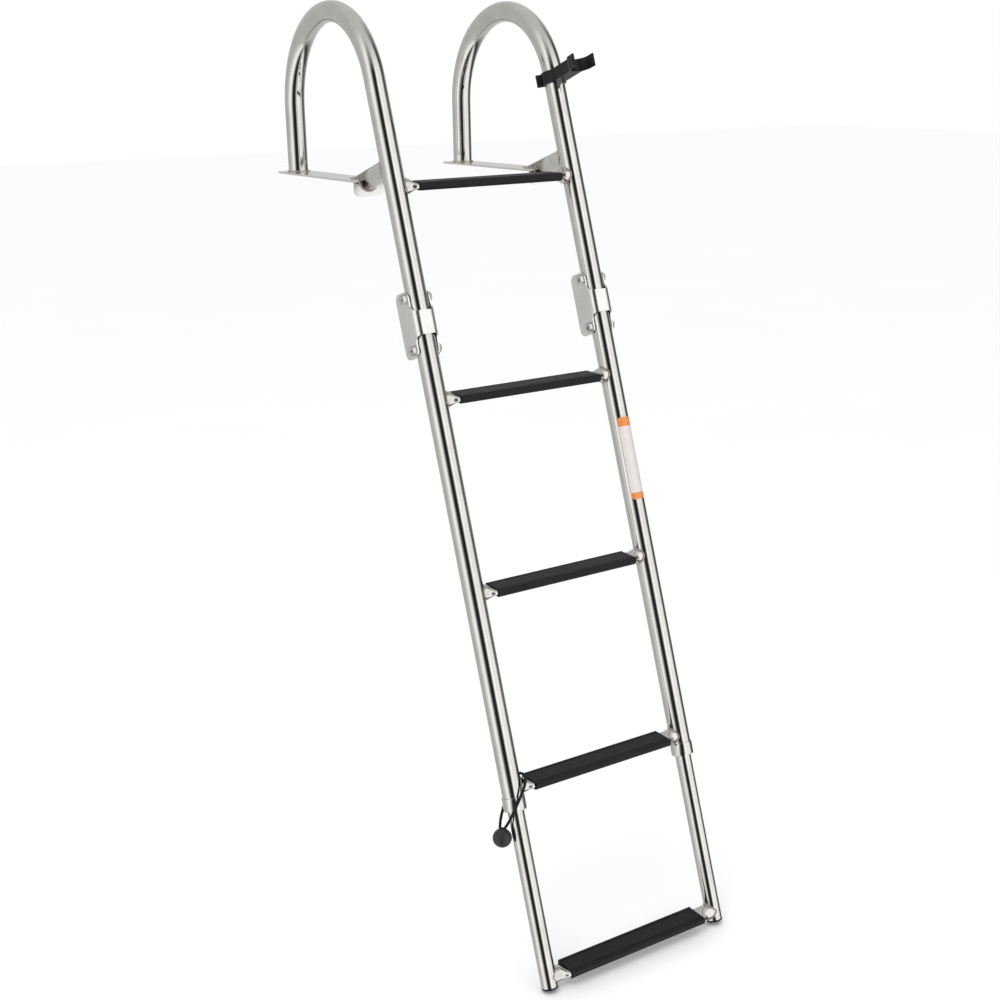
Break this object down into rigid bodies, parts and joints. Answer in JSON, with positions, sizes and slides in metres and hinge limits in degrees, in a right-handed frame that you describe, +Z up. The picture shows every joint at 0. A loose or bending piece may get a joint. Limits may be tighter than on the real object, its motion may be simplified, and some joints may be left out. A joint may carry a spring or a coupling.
{
  "type": "boat boarding ladder",
  "caption": "Stainless over-the-gunwale boarding ladder with deck hooks, a double-pivot fold below the first tread and a telescoping bottom tread.",
  "frame": {"origin": "on the deck surface at the deck edge, midway between the two hooks", "axes": "+Z up, +Y inboard over the deck, +X to the right of a climber who faces the boat"},
  "size_m": [0.3822, 0.7655, 1.4075],
  "materials": {
    "polished_steel": "polished stainless tube",
    "pressed_steel": "satin stainless sheet",
    "fastener_steel": "bright stainless",
    "black_plastic": "moulded, fine grain",
    "nylon": "natural nylon",
    "black_rubber": "satin rubber",
    "black_cord": "braided elastic cord",
    "label": "printed vinyl, no lettering"
  },
  "bodies": {
    "hook_frame": {"hook_tube_left": "polished_steel", "hook_tube_right": "polished_steel", "deck_plate_left": "pressed_steel", "deck_plate_right": "pressed_steel", "brace_tube_left": "pressed_steel", "brace_tube_right": "pressed_steel", "hook_plug_left": "nylon", "hook_plug_right": "nylon", "step_tube_1": "polished_steel", "tread_1": "black_plastic", "stow_clip": "black_plastic"},
    "fold_link": {"fold_bracket_left": "pressed_steel", "fold_bracket_right": "pressed_steel", "upper_pivot_bolts": "fastener_steel", "lower_pivot_bolts": "fastener_steel", "pivot_nuts": "fastener_steel", "pivot_washers": "fastener_steel"},
    "lower_frame": {"side_tube_left": "polished_steel", "side_tube_right": "polished_steel", "side_plug_left": "nylon", "side_plug_right": "nylon", "step_tube_2": "polished_steel", "step_tube_3": "polished_steel", "step_tube_4": "polished_steel", "tread_2": "black_plastic", "tread_3": "black_plastic", "tread_4": "black_plastic", "collar_left": "polished_steel", "collar_right": "polished_steel", "collar_bush_left": "nylon", "collar_bush_right": "nylon", "safety_label": "label", "retainer_cord": "black_cord", "retainer_ball": "black_rubber"},
    "slide_section": {"slide_tube_left": "polished_steel", "slide_tube_right": "polished_steel", "slide_bush_left": "nylon", "slide_bush_right": "nylon", "step_tube_5": "polished_steel", "tread_5": "black_plastic", "foot_cap_left": "black_plastic", "foot_cap_right": "black_plastic"}
  },
  "joints": [
    {"name": "link_swing", "type": "hinge", "parent": "hook_frame", "child": "fold_link", "pos_m": [0, -0.13886, -0.15913], "axis": [-1, 0, 0], "range_deg": [0, 90]},
    {"name": "ladder_swing", "type": "hinge", "parent": "fold_link", "child": "lower_frame", "pos_m": [0, -0.16323, -0.23112], "axis": [-1, 0, 0], "range_deg": [0, 90]},
    {"name": "bottom_step_slide", "type": "slide", "parent": "lower_frame", "child": "slide_section", "axis": [0, 0.3206, 0.9472], "range_m": [0, 0.235]}
  ]
}
